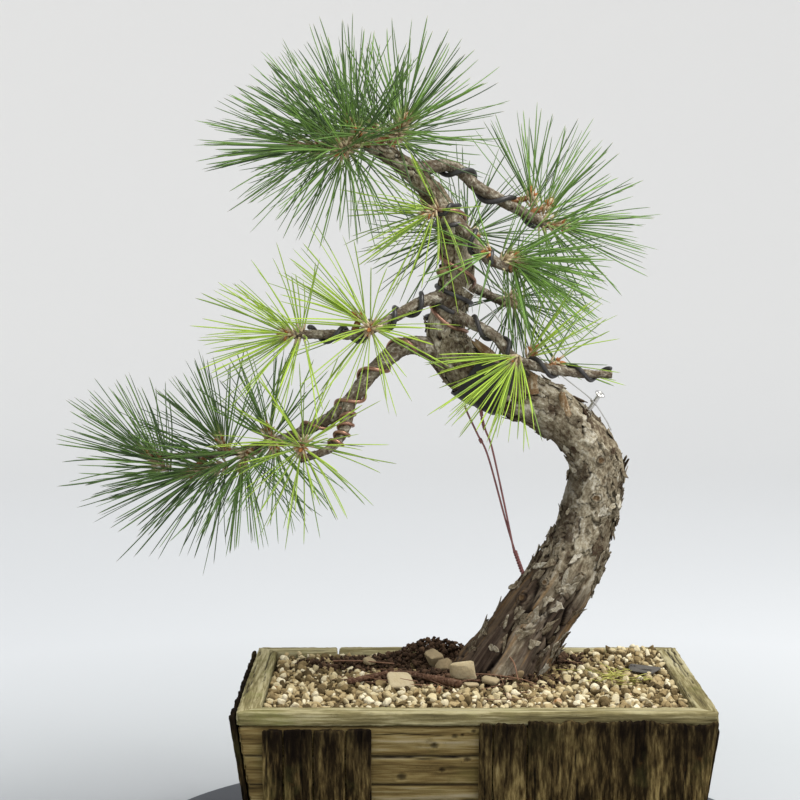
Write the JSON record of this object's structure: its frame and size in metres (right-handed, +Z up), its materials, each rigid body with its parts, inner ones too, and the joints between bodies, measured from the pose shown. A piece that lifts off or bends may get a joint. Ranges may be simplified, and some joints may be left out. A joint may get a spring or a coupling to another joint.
{
  "type": "bonsai pine in a wooden training box",
  "caption": "Potted bonsai pine with a curved, wired and guyed trunk and long-needle foliage tufts, planted in gravel in a flared, rimmed box of weathered boards.",
  "frame": {"origin": "centre of the box's underside", "axes": "+Z up, +X to the right and +Y to the back as seen from the tree's front"},
  "size_m": [0.5382, 0.2805, 0.686],
  "materials": {
    "weathered_wood": "matte",
    "dark_slats": "matte",
    "trunk_bark": "matte",
    "branch_bark": "matte",
    "root": "matte",
    "bark_chip": "matte",
    "pumice": "matte",
    "copper_wire": "satin",
    "black_wire": "satin",
    "steel": "satin",
    "rubber": "matte",
    "needles_light": "satin",
    "needles_green": "satin"
  },
  "bodies": {
    "root": {"bark_chip": "bark_chip", "black_wire_lower_right": "black_wire", "black_wire_middle_left": "black_wire", "black_wire_upper_right": "black_wire", "branch_back": "branch_bark", "branch_back_right": "branch_bark", "branch_lower_left": "branch_bark", "branch_lower_right": "branch_bark", "branch_middle_left": "branch_bark", "branch_right": "branch_bark", "branch_upper_right": "branch_bark", "cladding_left": "dark_slats", "cladding_right": "dark_slats", "copper_wire_lower_left": "copper_wire", "copper_wire_trunk": "copper_wire", "fallen_root": "root", "floor_board": "weathered_wood", "guy_screw": "steel", "guy_wires": "copper_wire", "needles_back": "needles_green", "needles_back_right": "needles_green", "needles_crown_back": "needles_green", "needles_crown_front": "needles_green", "needles_crown_left": "needles_green", "needles_crown_top": "needles_green", "needles_crown_upper_left": "needles_green", "needles_fork": "needles_light", "needles_inner_left": "needles_light", "needles_lower_left_end": "needles_green", "needles_lower_left_tip": "needles_green", "needles_lower_left_top": "needles_green", "needles_lower_left_under": "needles_green", "needles_lower_right": "needles_light", "needles_lower_right_front": "needles_light", "needles_middle_left": "needles_light", "needles_middle_left_front": "needles_light", "needles_right_front": "needles_green", "needles_right_low": "needles_green", "needles_right_side": "needles_green", "needles_right_top": "needles_green", "rim_back_left": "weathered_wood", "rim_back_right": "weathered_wood", "rim_front": "weathered_wood", "rim_left": "weathered_wood", "rim_right": "weathered_wood", "rubber_pad": "rubber", "slat_left_1": "dark_slats", "slat_left_2": "dark_slats", "slat_left_3": "dark_slats", "slat_left_4": "dark_slats", "slat_right_1": "dark_slats", "slat_right_2": "dark_slats", "slat_right_3": "dark_slats", "soil": "pumice", "steel_guy_wire": "steel", "trunk": "trunk_bark", "wall_back": "weathered_wood", "wall_front": "weathered_wood", "wall_left": "weathered_wood", "wall_right": "weathered_wood"}
  },
  "joints": []
}
